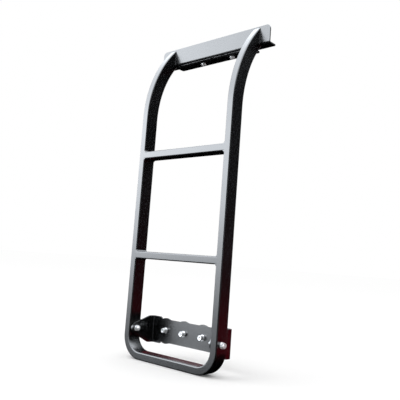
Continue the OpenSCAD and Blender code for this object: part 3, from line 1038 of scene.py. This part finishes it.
def toward(nodes, direction, azimuth_deg, edge, level=1.0):
    """A patch of light round a compass point, with a soft edge."""
    dot = nodes.add("ShaderNodeVectorMath")
    dot.operation = "DOT_PRODUCT"
    nodes.link(direction, dot.inputs[0])
    a = math.radians(azimuth_deg)
    dot.inputs[1].default_value = (math.sin(a), math.cos(a), 0)
    return nodes.ramp(dot.outputs["Value"], edge, (0.0, level))


def studio_light(nodes, direction, height):
    """A tall bright wall at the front left, a ceiling, two narrow panels and a dim room."""
    skyline = nodes.ramp(height, WALL_BAND, (WALL_FOOT, WALL_TOP))
    skyline = nodes.maths("ADD", skyline, nodes.ramp(height, FADE_BAND, (0.0, WALL_FADE)))
    light = nodes.maths("MULTIPLY", toward(nodes, direction, WALL_TO, WALL_EDGE), skyline)
    light = nodes.maths("ADD", light, nodes.ramp(height, CEILING_BAND, (0.0, CEILING)))
    panel = nodes.ramp(height, PANEL_BAND, (PANEL_FOOT, PANEL_TOP))
    for azimuth in PANELS_TO:
        patch = toward(nodes, direction, azimuth, PANEL_EDGE)
        light = nodes.maths("ADD", light, nodes.maths("MULTIPLY", patch, panel))
    return nodes.maths("ADD", light, nodes.ramp(height, ROOM_BAND, (ROOM_LOW, ROOM_HIGH)))


def ember_light(nodes, direction, height):
    """The dim red light, without its colour."""
    low = nodes.maths("MULTIPLY", nodes.ramp(height, LOW_RISE, (0.0, 1.0)),
                      nodes.ramp(height, LOW_FALL, (EMBER_LOW, 0.0)))
    glow = nodes.maths("ADD", nodes.ramp(height, EMBER_BAND, (EMBER, 0.0)), low)
    right = nodes.maths("MULTIPLY", toward(nodes, direction, EMBER_TO, EMBER_EDGE), glow)
    band = nodes.maths("MULTIPLY", nodes.ramp(height, LEFT_RISE, (0.0, 1.0)),
                       nodes.ramp(height, LEFT_FALL, (1.0, 0.0)))
    left = toward(nodes, direction, EMBER_LEFT_TO, EMBER_LEFT_EDGE, EMBER_LEFT)
    return nodes.maths("ADD", right, nodes.maths("MULTIPLY", left, band))


def build_world():
    """A white room for the eye, and the soft studio for reflections."""
    world = bpy.data.worlds.new("studio")
    bpy.context.scene.world = world
    nodes = Nodes(world)
    world.cycles.sampling_method = "NONE"
    direction = nodes.add("ShaderNodeTexCoord").outputs["Generated"]
    split = nodes.add("ShaderNodeSeparateXYZ")
    nodes.link(direction, split.inputs[0])
    light = studio_light(nodes, direction, split.outputs["Z"])
    ember = ember_light(nodes, direction, split.outputs["Z"])
    colour = nodes.add("ShaderNodeCombineColor")
    nodes.link(nodes.maths("MULTIPLY_ADD", light, RED_SHARE, ember), colour.inputs[0])
    nodes.link(light, colour.inputs[1])
    blue = nodes.maths("MULTIPLY_ADD", ember, EMBER_BLUE, nodes.maths("MULTIPLY", light, BLUE_SHARE))
    nodes.link(blue, colour.inputs[2])

    seen = nodes.add("ShaderNodeBackground", Strength=1.0, Color=(1, 1, 1, 1))
    studio = nodes.add("ShaderNodeBackground", Strength=1.0)
    nodes.link(colour.outputs["Color"], studio.inputs["Color"])
    path = nodes.add("ShaderNodeLightPath")
    mix = nodes.add("ShaderNodeMixShader")
    nodes.link(path.outputs["Is Glossy Ray"], mix.inputs["Fac"])
    nodes.link(seen.outputs["Background"], mix.inputs[1])
    nodes.link(studio.outputs["Background"], mix.inputs[2])
    out = nodes.add("ShaderNodeOutputWorld")
    nodes.link(mix.outputs["Shader"], out.inputs["Surface"])


def build_lights():
    """One large soft lamp over the front left, for a faint contact shadow. Nothing mirrors it."""
    data = bpy.data.lights.new("key_softbox", "AREA")
    data.shape = "RECTANGLE"
    data.size, data.size_y, data.energy = LAMP_SIDE, LAMP_SIDE, LAMP_WATTS
    lamp = bpy.data.objects.new("key_softbox", data)
    bpy.context.scene.collection.objects.link(lamp)
    lamp.location = LAMP_AT
    lamp.visible_glossy = False
    lamp.rotation_euler = (Vector(LAMP_AIM) - lamp.location).to_track_quat("-Z", "Y").to_euler()


# ---------------------------------------------------------------- the scene

build_camera()
build_frame_tube()
build_rung("rung_upper", rung_lo, rung_hi)
build_rung("rung_lower", low_rung_lo, low_rung_hi)
build_rung_welds("rung_upper", rung_lo, rung_hi)
build_rung_welds("rung_lower", low_rung_lo, low_rung_hi)
build_top_bracket()
build_top_welds()
build_strip("flange_pad_rubber", "flange_pad", "ladder")
build_clamp_jaw()
build_strip("clamp_jaw_rubber", "clamp_jaw_pad", "clamp")
build_lower_bracket()
build_lower_pad()
build_door_hardware()
build_clamp_hardware()
build_pivot_hardware()
build_floor()
build_world()
build_lights()
bpy.context.scene.view_settings.view_transform = "Standard"
bpy.context.scene.cycles.use_denoising = True
